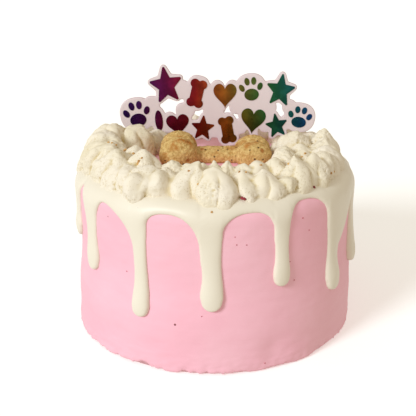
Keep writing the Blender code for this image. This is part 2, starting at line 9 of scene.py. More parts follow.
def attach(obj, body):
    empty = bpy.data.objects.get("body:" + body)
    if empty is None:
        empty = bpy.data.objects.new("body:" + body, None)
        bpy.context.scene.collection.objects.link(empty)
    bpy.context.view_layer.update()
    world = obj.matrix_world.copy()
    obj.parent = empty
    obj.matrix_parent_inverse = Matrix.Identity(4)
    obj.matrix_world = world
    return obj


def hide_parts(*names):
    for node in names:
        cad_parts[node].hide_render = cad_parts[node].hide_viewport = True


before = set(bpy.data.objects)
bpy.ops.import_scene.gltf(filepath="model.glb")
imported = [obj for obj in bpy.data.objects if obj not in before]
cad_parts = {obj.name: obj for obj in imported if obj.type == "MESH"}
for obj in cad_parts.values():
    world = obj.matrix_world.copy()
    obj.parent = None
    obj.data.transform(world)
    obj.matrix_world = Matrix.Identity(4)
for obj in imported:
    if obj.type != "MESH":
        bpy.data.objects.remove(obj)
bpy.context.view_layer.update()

# The looks of a dog's birthday cake: pink frosting, white icing that runs
# down the side, piped cream, a bone biscuit and a topper with foil shapes.
# Metres, +Z up, the front towards -Y. Azimuth 0 is the front, 90 is +X.

MM = 0.001

# Cake
CAKE_RADIUS = 75.0 * MM
CAKE_HEIGHT = 89.0 * MM
SHOULDER = 9.0 * MM
QUARTER = SHOULDER * math.pi / 2.0
SIDE_POINTS = 420
FOOT_FLARE = 1.04 * MM
FLARE_HEIGHT = 15.0 * MM
HEM_DEPTH = 2.2 * MM
HEM_FADE = 6.0 * MM
# Waves of the frosting's hem: how many go round, their share and their phase
HEM_WAVES = ((7.0, 0.16, 0.6), (13.0, 0.14, 2.0), (23.0, 0.12, 4.1))
# Notches of the hem: azimuth, spread in degrees and share of the hem's depth
HEM_NOTCHES = (
    (-28.5, 3.0, 0.9),
    (-11.9, 2.4, 0.7),
    (45.1, 2.6, 0.9),
    (50.0, 2.2, 0.7),
    (118.0, 3.0, 0.8),
    (205.0, 3.2, 0.8),
)
# Dents: azimuth, height in mm, spread in degrees, reach and depth in mm
DENTS = (
    (21.8, 10.5, 5.0, 7.0, 0.9),
    (-44.0, 16.0, 7.0, 9.0, 0.6),
    (150.0, 14.0, 6.0, 8.0, 0.8),
)
# The side stands out further below the upper height, in full from the lower
WIDER_BELOW = 52.0 * MM
WIDEST_FROM = 18.0 * MM
WIDER_BY = 2.6 * MM
WIDER_LEFT = 0.5 * MM
# Radii of the rings on the flat top, in mm
TOP_RINGS = (64.0, 60.0, 54.0, 46.0, 36.0, 24.0, 12.0)

# Icing
BAND = 2.2 * MM
BAND_RIM = 3.4 * MM
COLLAR = 4.5 * MM
BURIED = 0.5 * MM
LOWERED = 0.3 * MM
# Runs: azimuth, height of the tip, half widths at the neck and at the drop,
# and thickness at the drop, in mm
RUNS = (
    (-76.5, 53.0, 5.8, 6.0, 4.6),
    (-57.6, 42.3, 5.5, 5.8, 4.4),
    (-29.2, 28.3, 3.9, 4.6, 4.6),
    (-1.4, 35.4, 5.0, 5.3, 5.0),
    (25.6, 44.9, 3.9, 4.4, 4.2),
    (53.2, 32.2, 5.4, 5.7, 5.0),
    (76.5, 36.5, 5.2, 5.7, 6.4),
    (100.0, 58.0, 5.0, 5.2, 4.2),
    (123.0, 38.0, 4.6, 5.4, 4.8),
    (147.0, 51.0, 5.2, 5.2, 4.2),
    (169.0, 31.0, 4.6, 5.4, 5.6),
    (193.0, 45.0, 5.0, 5.3, 4.8),
    (216.0, 56.0, 4.6, 5.0, 4.0),
    (238.0, 35.0, 4.8, 5.4, 4.6),
    (262.0, 48.0, 5.0, 5.6, 5.4),
)
# Arches, each after the run of the same number: azimuth and height of the
# top, then the height where it joins and its fullness, left and right
ARCHES = (
    (-66.4, 85.5, 71.0, 1.5, 70.0, 1.3),
    (-48.0, 82.8, 72.0, 1.6, 64.0, 1.85),
    (-18.0, 83.7, 77.0, 2.5, 62.0, 2.5),
    (13.2, 84.7, 75.0, 2.2, 70.0, 3.0),
    (36.5, 86.5, 76.0, 2.4, 70.0, 2.6),
    (69.6, 75.0, 56.0, 0.85, 68.0, 1.5),
    (88.0, 84.0, 72.0, 1.8, 72.0, 2.0),
    (112.0, 82.0, 72.0, 2.0, 64.0, 1.8),
    (134.0, 85.0, 74.0, 2.0, 74.0, 2.4),
    (158.5, 83.0, 70.0, 1.8, 74.0, 2.2),
    (180.0, 86.0, 74.0, 2.2, 66.0, 1.9),
    (205.0, 82.0, 70.0, 1.8, 74.0, 2.5),
    (226.0, 85.0, 74.0, 2.0, 66.0, 1.8),
    (250.5, 83.0, 71.0, 1.8, 71.0, 2.0),
    (272.0, 84.0, 74.0, 2.2, 71.0, 1.8),
)
NECK_FLARE = 1.12
ACROSS = 14
ARCH_CELLS = 20
BAND_CELLS = 20
RUN_CELLS = 44
STRAIGHT_SHARE = 0.72
ICING_VOXEL = 0.58 * MM
ICING_KEPT = 0.55

# Piped cream: azimuth and distance of each kiss, half width, height, and how
# far its tip leans right and back, in mm
KISSES = (
    (-34.0, 61.0, 12.5, 13.5, 2.0, -1.5),
    (-25.5, 59.5, 9.5, 12.5, 1.0, 1.0),
    (-13.0, 58.0, 11.5, 16.5, 5.5, 3.0),
    (1.0, 62.0, 12.0, 15.5, -1.0, 1.5),
    (15.0, 60.0, 10.5, 13.0, -2.0, 2.5),
    (22.8, 62.8, 10.5, 12.5, 0.0, 1.5),
    (33.5, 61.0, 7.5, 8.0, 0.0, 0.0),
    (42.0, 61.5, 10.8, 16.0, -1.5, 1.5),
    (52.0, 62.0, 10.5, 14.0, 0.5, 2.0),
    (65.0, 61.5, 10.8, 12.5, 0.0, 1.0),
    (78.0, 61.0, 11.0, 12.0, 0.0, 1.0),
    (90.0, 60.5, 11.0, 13.0, 0.0, 0.0),
    (101.0, 60.5, 11.5, 15.5, 1.5, 1.0),
    (-43.5, 61.5, 12.0, 12.0, 0.0, 1.0),
    (-43.0, 53.0, 10.0, 17.5, 0.0, 1.0),
    (-56.0, 60.5, 13.0, 16.0, 1.0, 2.0),
    (-60.0, 48.5, 9.5, 15.5, 1.0, 1.0),
    (-70.0, 60.5, 13.0, 17.0, 2.0, 0.0),
    (-84.0, 60.0, 13.5, 18.5, 1.0, 1.0),
    (-98.0, 59.5, 13.5, 19.0, 2.0, 0.0),
    (-101.0, 46.0, 11.5, 17.5, 1.0, 1.0),
    (-125.0, 41.5, 9.5, 12.5, 1.5, 0.0),
    (-28.0, 47.0, 8.0, 12.5, 1.0, 1.0),
    (-18.5, 45.5, 7.5, 12.0, 1.0, 1.0),
    (-9.0, 46.0, 7.5, 13.0, 1.0, 1.0),
    (-0.5, 45.5, 7.0, 14.5, 0.0, 1.0),
    (8.0, 45.5, 7.0, 14.0, 0.0, 1.0),
    (16.5, 46.5, 7.5, 13.0, 1.0, 1.0),
    (26.0, 47.5, 8.5, 13.0, 0.0, 1.0),
    (37.0, 50.5, 8.0, 13.0, -1.0, 1.0),
    (52.0, 47.5, 9.0, 14.5, -1.5, 1.0),
    (67.0, 50.0, 9.0, 11.5, 1.0, 1.0),
    (85.0, 48.5, 9.0, 11.0, -1.0, 1.0),
    (103.0, 49.0, 10.5, 14.5, -2.0, 1.0),
)
BACK_KISSES = 8
BACK_START = 117.0
BACK_END = 243.0
LARGE_KISS = 10.4 * MM
UNDERSIDE = 4.0 * MM
CREAM_VOXEL = 0.55 * MM
CREAM_KEPT = 0.63
CREAM_SEED = 23
DRIFT_TURNS = ((3.7, 1.3, 9.1), (11.9, 5.3, 2.7), (6.1, 17.3, 4.9))
# How rounded the peaks of some kisses are, by their number in the table
SOFT_KISSES = {
    0: 0.7, 1: 0.6, 2: 0.35, 3: 0.3, 4: 0.4, 5: 0.4, 6: 1.0, 7: 0.2, 8: 0.3, 9: 0.7, 10: 0.5, 13: 0.6,
    14: 0.5, 15: 0.7, 16: 0.6, 17: 0.8, 18: 0.9, 19: 0.9, 20: 0.9, 21: 0.9, 22: 0.8, 23: 0.7, 24: 0.5,
    25: 0.1, 26: 0.1, 27: 0.6, 28: 0.7, 29: 0.6, 30: 0.8, 31: 0.5, 32: 0.5,
}
# Rounded lobes among the kisses: place right, back and above the cake's top,
# then half widths right, back and up, in mm
LOBES = (
    (-38.0, -57.5, 3.5, 6.0, 6.0, 8.0),
    (-27.8, -57.5, 4.0, 7.0, 6.0, 9.0),
    (-4.4, -65.5, 2.5, 5.0, 4.5, 6.2),
    (34.6, -56.0, 4.0, 4.8, 4.8, 5.4),
    (36.0, -19.5, 4.5, 6.2, 6.0, 6.5),
    (32.0, -31.0, 3.5, 7.5, 4.0, 5.5),
    (44.0, 4.0, 5.0, 10.0, 6.5, 10.0),
    (37.5, 7.0, 2.5, 7.0, 5.5, 6.5),
    (37.0, -8.5, 3.5, 5.5, 6.0, 6.5),
    (-43.0, 14.0, 5.0, 9.0, 6.5, 9.5),
    (-36.0, 16.5, 3.0, 8.0, 5.0, 7.0),
    (-61.0, -2.0, 7.0, 10.0, 10.0, 9.0),
    (-50.0, -30.0, 5.0, 9.0, 8.0, 9.0),
)

# Biscuit
BISCUIT_LENGTH = 61.0 * MM
KNOB_LEFT = (10.3 * MM, 9.0 * MM, 15.0 * MM)
KNOB_RIGHT = (9.9 * MM, 8.6 * MM, 12.4 * MM)
KNOB_SPREAD = 6.6 * MM
SHAFT_WIDTH = 13.5 * MM
SHAFT_HEIGHT = 8.0 * MM
BISCUIT_VOXEL = 0.4 * MM

# Topper
TOPPER_Y = 24.0 * MM
TOPPER_THICKNESS = 1.6 * MM
TOPPER_FRONT = TOPPER_Y - 0.5 * TOPPER_THICKNESS
HALO = 2.1 * MM
LEG_WIDTH = 5.0 * MM
LEG_DEPTH = 16.0 * MM
LEG_X = (-21.5 * MM, 22.7 * MM)
FOIL = 0.3 * MM
PLATE_VOXEL = 0.32 * MM
PLATE_KEPT = 0.25
# Foil shapes: kind, place right and above the cake's top, width, height, in
# mm, and turn in degrees
EMBLEMS = (
    ("star", -26.9, 36.9, 17.5, 19.0, 8.0),
    ("bone", -9.8, 32.4, 9.5, 16.0, -14.0),
    ("heart", 6.1, 30.9, 13.0, 14.0, 0.0),
    ("paw", 20.8, 34.3, 13.5, 14.0, 6.0),
    ("star", 37.3, 33.6, 15.5, 17.0, -8.0),
    ("paw", -43.9, 20.4, 15.5, 15.5, 10.0),
    ("drop", -31.6, 16.9, 4.4, 12.0, 4.0),
    ("heart", -20.8, 14.1, 13.0, 12.6, 6.0),
    ("star", -6.7, 12.3, 12.6, 13.4, -5.0),
    ("bone", 7.4, 11.2, 9.0, 15.6, 10.0),
    ("heart", 22.0, 16.2, 14.0, 14.6, -6.0),
    ("star", 35.6, 13.4, 12.0, 13.0, 10.0),
    ("paw", 48.6, 18.0, 14.0, 13.0, -10.0),
)

# Bridges between the two rows: centre and half size in mm
BRIDGES = (
    (-35.0, 27.0, 4.5, 4.0),
    (-16.5, 22.6, 5.5, 4.5),
    (-0.5, 21.6, 6.0, 4.5),
    (14.0, 24.2, 5.5, 4.0),
    (30.0, 24.0, 5.5, 4.0),
    (42.5, 24.5, 4.0, 4.0),
    (-37.5, 18.0, 4.0, 5.0),
    (-26.5, 14.0, 4.0, 4.5),
    (-13.5, 12.0, 4.0, 4.5),
    (0.2, 10.5, 4.5, 4.0),
    (14.2, 13.0, 4.5, 4.5),
    (29.5, 14.0, 4.0, 4.5),
    (42.0, 15.5, 4.0, 4.5),
    (-18.0, 34.5, 4.0, 5.5),
    (-2.0, 31.0, 3.5, 5.0),
    (13.5, 32.0, 4.0, 5.0),
    (29.0, 34.0, 4.0, 5.0),
)

# Small fillets that close the narrow chinks between them, in the same terms
FILLETS = (
    (-0.2, 25.7, 5.0, 3.2),
    (-0.8, 17.4, 3.2, 2.6),
    (22.0, 24.2, 3.2, 2.6),
    (28.3, 28.4, 3.2, 2.6),
    (30.9, 19.9, 3.0, 2.6),
)

# Colours of the foil, from the topper's left end to its right one
RAINBOW = (
    (0.00, (0.016, 0.004, 0.075)),
    (0.14, (0.045, 0.004, 0.060)),
    (0.26, (0.110, 0.004, 0.030)),
    (0.38, (0.170, 0.008, 0.008)),
    (0.52, (0.200, 0.060, 0.008)),
    (0.64, (0.090, 0.085, 0.012)),
    (0.76, (0.012, 0.080, 0.022)),
    (0.88, (0.005, 0.065, 0.080)),
    (1.00, (0.004, 0.035, 0.170)),
)

# Light: the sky's colour and strength, then the lamp's place in degrees,
# its power, spread and colour
SKY = (1.0, 0.91, 0.75, 1.0)
SKY_STRENGTH = 0.62
LAMP_AZIMUTH = -46.0
LAMP_HEIGHT = 28.0
LAMP_POWER = 2.2
LAMP_SPREAD = 18.0
LAMP_COLOUR = (0.84, 0.93, 1.0)

# Camera: its place, the point it faces, and its framing
CAMERA = Vector((0.0, -0.4201, 0.2164))
FACED = Vector((0.0, 0.0, 0.0445))
LENS = 68.52
ROLL = -0.394
SHIFT = (-0.0171, 0.0652)
SENSOR = 36.0

# Places in the frame, across and down as shares of its width: crumbs of
# biscuit on the cream, red specks in the frosting, and dark red spots of
# painted shade where frosting shows in the gaps at the foot of the cream
CRUMBS = (
    (0.261, 0.3425), (0.269, 0.344), (0.279, 0.3485), (0.298, 0.363), (0.302, 0.360), (0.321, 0.369),
    (0.341, 0.380), (0.334, 0.388), (0.332, 0.3935), (0.454, 0.411), (0.476, 0.4425), (0.575, 0.4135),
    (0.591, 0.4145), (0.627, 0.397), (0.694, 0.394), (0.733, 0.369), (0.726, 0.377), (0.796, 0.416),
    (0.803, 0.413), (0.509, 0.510),
)
RED_SPECKS = (
    (0.565, 0.570), (0.707, 0.673), (0.637, 0.873), (0.728, 0.524), (0.743, 0.553), (0.569, 0.589),
    (0.593, 0.589), (0.697, 0.629), (0.485, 0.761), (0.305, 0.652),
)
SHADED_GAP_SPOTS = ((0.583, 0.476), (0.588, 0.478), (0.755, 0.450))


# Modelling helpers

def alone(item):
    """Select one object and nothing else, and make it active."""
    for other in list(bpy.context.selected_objects):
        other.select_set(False)
    item.select_set(True)
    bpy.context.view_layer.objects.active = item


def edit(item, *steps):
    """Run edit mode steps on an object with everything selected."""
    alone(item)
    bpy.ops.object.mode_set(mode="EDIT")
    bpy.ops.mesh.select_all(action="SELECT")
    for step in steps:
        step()
    bpy.ops.object.mode_set(mode="OBJECT")


def weld(distance):
    return lambda: bpy.ops.mesh.remove_doubles(threshold=distance)


def pull(offset):
    return lambda: bpy.ops.mesh.extrude_region_move(TRANSFORM_OT_translate={"value": offset})


def face_out():
    bpy.ops.mesh.normals_make_consistent(inside=False)


def newest(name):
    item = bpy.context.view_layer.objects.active
    item.name = name
    item.data.name = name
    return item


def move_points(item, rule):
    for vertex in item.data.vertices:
        vertex.co = rule(vertex.co.copy())
    item.data.update()


def settle(item):
    """Put the object's place, turn and scale into its mesh."""
    alone(item)
    bpy.ops.object.transform_apply(location=True, rotation=True, scale=True)


def join(name, items):
    alone(items[0])
    for item in items:
        item.select_set(True)
    bpy.ops.object.join()
    return newest(name)


def finish_modifiers(item):
    alone(item)
    for modifier in list(item.modifiers):
        bpy.ops.object.modifier_apply(modifier=modifier.name)


def remesh(item, voxel):
    modifier = item.modifiers.new("skin", "REMESH")
    modifier.mode = "VOXEL"
    modifier.voxel_size = voxel
    modifier.use_smooth_shade = True
    finish_modifiers(item)


def relax(item, factor, repeat):
    modifier = item.modifiers.new("relax", "SMOOTH")
    modifier.factor = factor
    modifier.iterations = repeat
    finish_modifiers(item)


def thin_out(item, ratio):
    """Merge small faces until this share of them is left."""
    modifier = item.modifiers.new("fewer", "DECIMATE")
    modifier.ratio = ratio
    finish_modifiers(item)


def along_normals(item, rule):
    """Push every point along its normal by rule(place)."""
    normals = [vertex.normal.copy() for vertex in item.data.vertices]
    for vertex, normal in zip(item.data.vertices, normals):
        vertex.co += normal * rule(vertex.co)
    item.data.update()


def mark_crease_shade(item, depth, repeat):
    """Keep, for each point, how far it lies below the smoothed surface, as the mask for painted shade in
    the cream's creases.
    """
    places = [vertex.co.copy() for vertex in item.data.vertices]
    normals = [vertex.normal.copy() for vertex in item.data.vertices]
    alone(item)
    bpy.ops.object.duplicate()
    calm = newest("calm")
    relax(calm, 0.9, repeat)
    layer = item.data.attributes.new("hollow", "FLOAT", "POINT")
    for index, (place, normal, vertex) in enumerate(zip(places, normals, calm.data.vertices)):
        layer.data[index].value = (vertex.co - place).dot(normal) / depth
    bpy.data.objects.remove(calm)


def smooth(item, degrees=None):
    alone(item)
    if degrees is None:
        bpy.ops.object.shade_smooth()
    else:
        bpy.ops.object.shade_smooth_by_angle(angle=math.radians(degrees))


def dress(item, finish, slot, *nodes):
    item.data.materials.clear()
    item.data.materials.append(finish)
    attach(item, "root")
    if nodes:
        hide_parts(*nodes)


# Shader helpers

class Wire:
    """A socket of a material. Sums on it add Math nodes."""

    def __init__(self, paint, socket):
        self.paint = paint
        self.socket = socket

    def maths(self, operation, first, second, clamp=False):
        return self.paint.node("ShaderNodeMath", {"operation": operation, "use_clamp": clamp},
                               {0: first, 1: second})

    def __add__(self, other):
        return self.maths("ADD", self, other)

    __radd__ = __add__

    def __sub__(self, other):
        return self.maths("SUBTRACT", self, other)

    def __rsub__(self, other):
        return self.maths("SUBTRACT", other, self)

    def __mul__(self, other):
        return self.maths("MULTIPLY", self, other)

    __rmul__ = __mul__

    def clamp(self):
        return self.maths("ADD", self, 0.0, clamp=True)


class Paint:
    """A material with one Principled shader."""

    def __init__(self, name, **constants):
        self.material = bpy.data.materials.new(name)
        self.material.use_nodes = True
        self.tree = self.material.node_tree
        self.shader = self.tree.nodes["Principled BSDF"]
        for key, value in constants.items():
            socket = self.shader.inputs[key.replace("_", " ")]
            socket.default_value = (*value, 1.0) if isinstance(value, tuple) else value
        self.place = self.node("ShaderNodeTexCoord", output="Object")

    def node(self, kind, settings=None, values=None, output=0):
        made = self.tree.nodes.new(kind)
        for key, value in (settings or {}).items():
            if key == "stops":
                ramp = made.color_ramp
                while len(ramp.elements) < len(value):
                    ramp.elements.new(0.5)
                for element, (position, colour) in zip(ramp.elements, value):
                    element.position = position
                    element.color = (*colour, 1.0)
            else:
                setattr(made, key, value)
        for key, value in (values or {}).items():
            socket = made.inputs[key]
            if isinstance(value, Wire):
                self.tree.links.new(value.socket, socket)
            elif isinstance(value, tuple) and socket.type == "RGBA":
                socket.default_value = (*value, 1.0)
            else:
                socket.default_value = value
        return Wire(self, made.outputs[output])

    def noise(self, scale, detail=3.0, roughness=0.5, place=None):
        return self.node("ShaderNodeTexNoise", {}, {"Vector": place or self.place, "Scale": scale,
                                                    "Detail": detail, "Roughness": roughness})

    def cells(self, scale, output="Distance"):
        return self.node("ShaderNodeTexVoronoi", {}, {"Vector": self.place, "Scale": scale}, output=output)

    def stretched(self, scale):
        return self.node("ShaderNodeMapping", {}, {"Vector": self.place, "Scale": scale})

    def between(self, value, low, high):
        return self.node("ShaderNodeMapRange", {}, {"Value": value, "From Min": low, "From Max": high})

    def spots(self, scale, chance, near, far):
        """Round spots in some cells, solid up to near and gone at far."""
        lot = self.node("ShaderNodeSeparateColor", {}, {"Color": self.cells(scale, output="Color")})
        chosen = self.between(lot, *chance)
        return (1.0 - self.between(self.cells(scale), near, far)) * chosen

    def mix(self, share, first, second, blend="MIX"):
        return self.node("ShaderNodeMix", {"data_type": "RGBA", "blend_type": blend},
                         {0: share, 6: first, 7: second}, output=2)

    def feed(self, key, wire):
        self.tree.links.new(wire.socket, self.shader.inputs[key])

    def relief(self, height, strength, distance):
        bump = self.node("ShaderNodeBump", {}, {"Height": height, "Strength": strength,
                                                "Distance": distance})
        self.feed("Normal", bump)


# Finishes

def frosting_finish():
    paint = Paint("pink_frosting_finish", Roughness=0.62, Specular_IOR_Level=0.35)
    broad = paint.noise(22.0, 3.0)
    streak = paint.noise(60.0, 4.0, 0.6, paint.stretched((1.0, 1.0, 5.0)))
    colour = paint.mix(paint.between(broad, 0.3, 0.7), (0.925, 0.480, 0.585), (0.955, 0.545, 0.645))
    colour = paint.mix(paint.between(streak, 0.35, 0.75) * 0.2, colour, (0.885, 0.430, 0.535))
    specks = paint.spots(150.0, (0.972, 0.975), 0.055, 0.11)
    colour = paint.mix(specks.clamp(), colour, (0.16, 0.02, 0.02))
    paint.feed("Base Color", colour)
    paint.relief(streak * 0.4 + paint.noise(420.0, 2.0) * 0.4, 0.25, 0.0005)
    return paint.material


def icing_finish():
    paint = Paint("white_icing_finish", Roughness=0.42, Specular_IOR_Level=0.4)
    broad = paint.noise(30.0, 3.0)
    colour = paint.mix(paint.between(broad, 0.3, 0.7), (0.805, 0.735, 0.610), (0.835, 0.770, 0.655))
    paint.feed("Base Color", colour)
    paint.relief(paint.noise(160.0, 3.0), 0.12, 0.0005)
    return paint.material


def cream_finish():
    paint = Paint("whipped_cream_finish", Roughness=0.72, Specular_IOR_Level=0.25)
    broad = paint.noise(55.0, 3.0)
    colour = paint.mix(paint.between(broad, 0.3, 0.7), (0.785, 0.698, 0.525), (0.868, 0.790, 0.680))
    pores = paint.cells(900.0)
    patches = paint.between(paint.noise(70.0, 2.0), 0.42, 0.56)
    pits = (1.0 - paint.between(pores, 0.12, 0.34)) * patches
    # Painted shade in the pores: the pits darker and browner
    colour = paint.mix((pits * 0.65).clamp(), colour, (0.62, 0.50, 0.30))
    # Painted shade: the cream's creases darker and yellower, the deeper each point lies below the smoothed
    # surface
    hollow = paint.node("ShaderNodeAttribute", {"attribute_name": "hollow"}, output="Fac")
    colour = paint.mix(paint.between(hollow, 0.0, 0.55) * 0.9, colour, (0.57, 0.435, 0.185))
    paint.feed("Base Color", colour)
    paint.relief(paint.noise(500.0, 4.0, 0.6) * 0.6 - pits * 0.8, 0.4, 0.0005)
    return paint.material


def biscuit_finish():
    paint = Paint("baked_biscuit_finish", Roughness=0.85, Specular_IOR_Level=0.2)
    crumb = paint.noise(620.0, 5.0, 0.7)
    brown = paint.noise(130.0, 4.0, 0.6)
    height = paint.node("ShaderNodeSeparateXYZ", {}, {"Vector": paint.place}, output=2)
    colour = paint.mix(paint.between(crumb, 0.36, 0.64), (0.52, 0.29, 0.080), (0.86, 0.63, 0.27))
    baked = paint.between(brown, 0.50, 0.66) * (0.35 + 0.65 * paint.between(height, 0.094, 0.102))
    colour = paint.mix(baked.clamp(), colour, (0.50, 0.19, 0.035))
    # Painted shade: small nearly black spots that stand for shaded pits in the biscuit
    pit_shade = paint.spots(420.0, (0.80, 0.82), 0.15, 0.32)
    colour = paint.mix(pit_shade.clamp(), colour, (0.13, 0.06, 0.02))
    scorched = paint.spots(150.0, (0.74, 0.76), 0.10, 0.26)
    colour = paint.mix((scorched * 0.8).clamp(), colour, (0.42, 0.13, 0.025))
    paint.feed("Base Color", colour)
    paint.relief(crumb, 1.0, 0.0011)
    return paint.material


def plate_finish():
    paint = Paint("pale_plate_finish", Roughness=0.28, Specular_IOR_Level=0.5)
    colour = paint.mix(paint.noise(40.0), (0.72, 0.60, 0.625), (0.80, 0.70, 0.72))
    # Painted shade and a pink colour fringe on the plate's edges, where the faces turn away from front and
    # back
    rim = paint.node("ShaderNodeAttribute", {"attribute_name": "rim"}, output="Fac")
    paint.feed("Base Color", paint.mix((rim * 0.9).clamp(), colour, (0.50, 0.30, 0.38)))
    return paint.material


def foil_finish():
    paint = Paint("rainbow_foil_finish", Metallic=0.9, Roughness=0.3)
    across = paint.node("ShaderNodeSeparateXYZ", {}, {"Vector": paint.place})
    share = paint.between(across, -0.054, 0.058) + (paint.noise(60.0) - 0.5) * 0.12
    colour = paint.node("ShaderNodeValToRGB", {"stops": RAINBOW}, {"Fac": share})
    glint = paint.between(paint.noise(130.0, 2.0), 0.45, 0.75)
    paint.feed("Base Color", paint.mix(glint, colour, paint.mix(1.0, colour, colour, "ADD")))
    paint.feed("Roughness", paint.between(paint.noise(180.0), 0.2, 0.8) * 0.18 + 0.22)
    return paint.material


def crumb_and_shade_finish(name, dark, light):
    paint = Paint(name, Roughness=0.8)
    paint.feed("Base Color", paint.mix(paint.between(paint.noise(700.0), 0.35, 0.65), dark, light))
    return paint.material


# Cake body

def bump(azimuth, centre, spread):
    away = (azimuth - centre + 180.0) % 360.0 - 180.0
    return math.exp(-(away / spread) ** 2)


def hem_lift(azimuth):
    a = math.radians(azimuth)
    wave = 0.22 + sum(share * math.sin(count * a + phase) for count, share, phase in HEM_WAVES)
    wave += sum(depth * bump(azimuth, centre, spread) for centre, spread, depth in HEM_NOTCHES)
    wave += 0.45 * noise.noise(Vector((azimuth * 0.45, 3.0, 0.0)))
    wave += 0.35 * noise.noise(Vector((azimuth * 1.3, 8.0, 0.0)))
    return HEM_DEPTH * min(max(wave, 0.05), 1.2)


def dent(azimuth, height):
    total = 0.0
    for centre, level, spread, reach, depth in DENTS:
        total += depth * bump(azimuth, centre, spread) * math.exp(-((height / MM - level) / reach) ** 2)
    return total * MM


def foot_flare(azimuth, height):
    share = max(0.0, 1.0 - height / FLARE_HEIGHT) ** 1.2
    return FOOT_FLARE * share * (0.6 - 0.4 * math.sin(math.radians(azimuth)))


def widened(place):
    """The lower half of the side stands out further, most on the left."""
    radius = max(math.hypot(place.x, place.y), MM)
    low = min(1.0, max(0.0, (WIDER_BELOW - place.z) / (WIDER_BELOW - WIDEST_FROM)))
    outer = min(1.0, max(0.0, (radius - 50.0 * MM) / (20.0 * MM)))
    out = (WIDER_BY - WIDER_LEFT * place.x / radius) * low * low * (3.0 - 2.0 * low) * outer
    grown = 1.0 + out / radius
    return Vector((place.x * grown, place.y * grown, place.z))


def cake_rings():
    """Radius and height of the cake's side, from its foot to its top."""
    rings = [(CAKE_RADIUS - 1.8 * MM, 0.0), (CAKE_RADIUS - 0.9 * MM, 0.12 * MM)]
    level = 0.4
    while level < 80.0:
        tuck = max(0.0, 1.0 - level / 2.0) ** 2 * 0.6
        rings.append((CAKE_RADIUS - tuck * MM, level * MM))
        level += 0.7 if level < 12.0 else 1.4
    for step in range(10):
        a = math.radians(10.0 * step)
        rings.append((CAKE_RADIUS - SHOULDER + SHOULDER * math.cos(a),
                      CAKE_HEIGHT - SHOULDER + SHOULDER * math.sin(a)))
    rings.extend((radius * MM, CAKE_HEIGHT) for radius in TOP_RINGS)
    return rings


def worked_frosting(place):
    """Hem, dents and the marks of a palette knife in the frosting."""
    radius = math.hypot(place.x, place.y)
    azimuth = math.degrees(math.atan2(place.x, -place.y))
    inward = 0.0
    if radius > CAKE_RADIUS - 1.0 * MM and place.z < 40.0 * MM:
        inward = dent(azimuth, place.z) - foot_flare(azimuth, place.z)
        lift = hem_lift(azimuth)
        fade = max(0.0, 1.0 - place.z / HEM_FADE)
        if place.z > 0.01 * MM:
            place.z += lift * fade
        inward += 0.25 * lift * fade
    if radius > 20.0 * MM and place.z > 0.01 * MM:
        a = math.radians(azimuth)
        spot = Vector((8.0 * math.cos(a), 8.0 * math.sin(a), place.z * 260.0))
        inward += 0.16 * MM * noise.fractal(spot, 0.8, 2.0, 4)
        spot = Vector((3.0 * math.cos(a), 3.0 * math.sin(a), place.z * 30.0))
        inward += 0.35 * MM * noise.noise(spot)
        low = max(0.0, 1.0 - place.z / (9.0 * MM))
        inward += 0.5 * MM * low * noise.fractal(place * 260.0, 0.7, 2.0, 4)
    share = 1.0 - inward / max(radius, 1.0 * MM)
    place.x *= share
    place.y *= share
    return place


def make_cake(finish):
    rings = cake_rings()
    bpy.ops.mesh.primitive_circle_add(vertices=SIDE_POINTS, radius=rings[0][0], fill_type="TRIFAN")
    cake = newest("frosted_cake")
    edit(cake, lambda: bpy.ops.mesh.flip_normals())
    alone(cake)
    bpy.ops.object.mode_set(mode="EDIT")
    bm = bmesh.from_edit_mesh(cake.data)
    for face in bm.faces:
        face.select_set(False)
    for edge in bm.edges:
        edge.select_set(edge.is_boundary)
    bm.select_flush_mode()
    bmesh.update_edit_mesh(cake.data)
    for (before, low), (radius, height) in zip(rings, rings[1:]):
        pull((0.0, 0.0, height - low))()
        share = radius / before
        bpy.ops.transform.resize(value=(share, share, 1.0), center_override=(0.0, 0.0, height))
    bpy.ops.mesh.edge_face_add()
    bpy.ops.mesh.poke()
    bpy.ops.mesh.select_all(action="SELECT")
    face_out()
    bpy.ops.object.mode_set(mode="OBJECT")
    move_points(cake, worked_frosting)
    move_points(cake, widened)
    smooth(cake)
    dress(cake, finish, "frosting", "cake")
    return cake


# Icing

def on_skin(azimuth, travel, lift):
    """A point over the cake's skin. Travel is the way out and down from
    where the flat top ends, and lift is the height over the skin."""
    if travel < 0.0:
        radius, height = CAKE_RADIUS - SHOULDER + travel, CAKE_HEIGHT + lift
    elif travel < QUARTER:
        turn = travel / SHOULDER
        radius = CAKE_RADIUS - SHOULDER + (SHOULDER + lift) * math.sin(turn)
        height = CAKE_HEIGHT - SHOULDER + (SHOULDER + lift) * math.cos(turn)
    else:
        radius = CAKE_RADIUS + lift
        height = CAKE_HEIGHT - SHOULDER - (travel - QUARTER)
    a = math.radians(azimuth)
    return Vector((radius * math.sin(a), -radius * math.cos(a), height))


def skin_place(place):
    """Azimuth and travel of a point that lies on the cake's skin."""
    radius = math.hypot(place.x, place.y)
    azimuth = math.degrees(math.atan2(place.x, -place.y))
    side, rise = radius - (CAKE_RADIUS - SHOULDER), place.z - (CAKE_HEIGHT - SHOULDER)
    if side <= 0.0:
        return azimuth, side
    if rise >= 0.0:
        return azimuth, SHOULDER * math.atan2(side, rise)
    return azimuth, QUARTER - rise


def travel_to(height):
    fall = CAKE_HEIGHT - SHOULDER - height
    if fall > 0.0:
        return QUARTER + fall
    return SHOULDER * math.acos(min(1.0, -fall / SHOULDER))


def degrees_of(width_mm):
    return math.degrees(width_mm * MM / CAKE_RADIUS)


def flank(azimuth, side, top, join, power):
    """Height of an arch's edge between its top and the run at its side."""
    share = min(1.0, abs((azimuth - top[0]) / (side - top[0])))
    return join + (top[1] - join) * (1.0 - share ** power) ** (1.0 / power)


def eased(share):
    return 0.5 - 0.5 * math.cos(math.pi * share)


